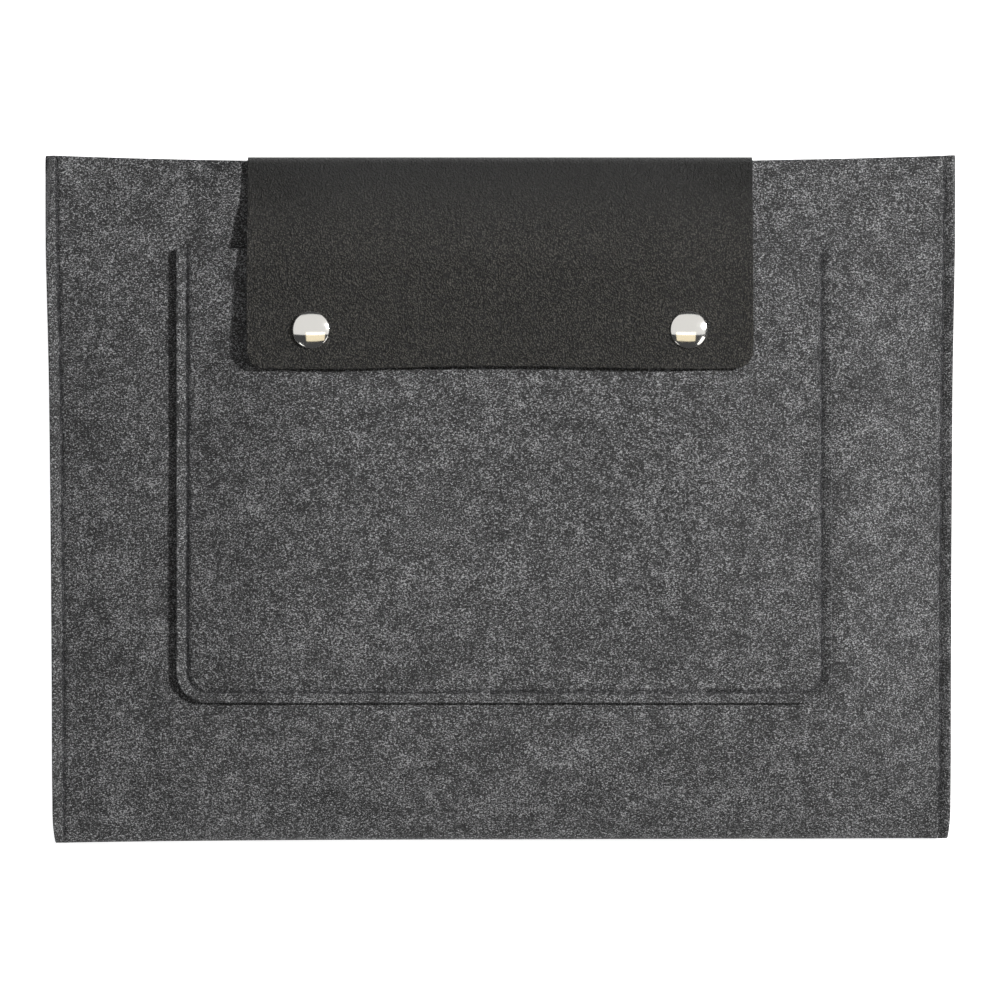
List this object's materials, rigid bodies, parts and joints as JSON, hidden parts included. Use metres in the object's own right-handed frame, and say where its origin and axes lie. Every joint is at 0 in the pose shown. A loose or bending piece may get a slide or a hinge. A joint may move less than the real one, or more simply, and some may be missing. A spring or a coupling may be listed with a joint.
{
  "type": "laptop sleeve",
  "caption": "Felt laptop sleeve with a stitched front patch pocket and a leather flap that folds over the mouth and closes on snap fasteners.",
  "frame": {"origin": "middle of the outline, on the surface the sleeve lies on with its back down", "axes": "+X across the sleeve to the right as seen from the front, +Y towards the mouth, +Z out of the front"},
  "size_m": [0.37, 0.28, 0.0363],
  "materials": {
    "felt": "mottled grey felt",
    "flap_leather": "black fine-grained artificial leather",
    "stitching": "dark twisted thread",
    "snap_cap_metal": "polished nickel",
    "snap_metal": "nickel-plated brass"
  },
  "bodies": {
    "sleeve": {"felt_body": "felt", "pocket_panel": "felt", "flap_back": "flap_leather", "seam_needle_thread_left": "stitching", "seam_needle_thread_right": "stitching", "seam_bobbin_thread_left": "stitching", "seam_bobbin_thread_right": "stitching", "pocket_needle_thread": "stitching", "pocket_bobbin_thread": "stitching", "flap_needle_thread": "stitching", "flap_bobbin_thread": "stitching", "snap_stud_left": "snap_metal", "snap_stud_right": "snap_metal", "snap_post_left": "snap_metal", "snap_post_right": "snap_metal"},
    "flap_middle": {"flap_spine": "flap_leather"},
    "flap": {"flap_front": "flap_leather", "snap_cap_left": "snap_cap_metal", "snap_cap_right": "snap_cap_metal", "snap_socket_left": "snap_metal", "snap_socket_right": "snap_metal", "snap_spring_left": "snap_metal", "snap_spring_right": "snap_metal"}
  },
  "joints": [
    {"name": "flap_back_fold", "type": "hinge", "parent": "sleeve", "child": "flap_middle", "pos_m": [0, 0.13781, 0.00159], "axis": [-1, 0, 0], "range_deg": [0, 82]},
    {"name": "flap_front_fold", "type": "hinge", "parent": "flap_middle", "child": "flap", "pos_m": [0, 0.13799, 0.02218], "axis": [-1, 0, 0], "range_deg": [0, 82]}
  ],
  "couplings": [
    {"joint": "flap_back_fold", "follows": "flap_front_fold", "ratio": 1}
  ]
}
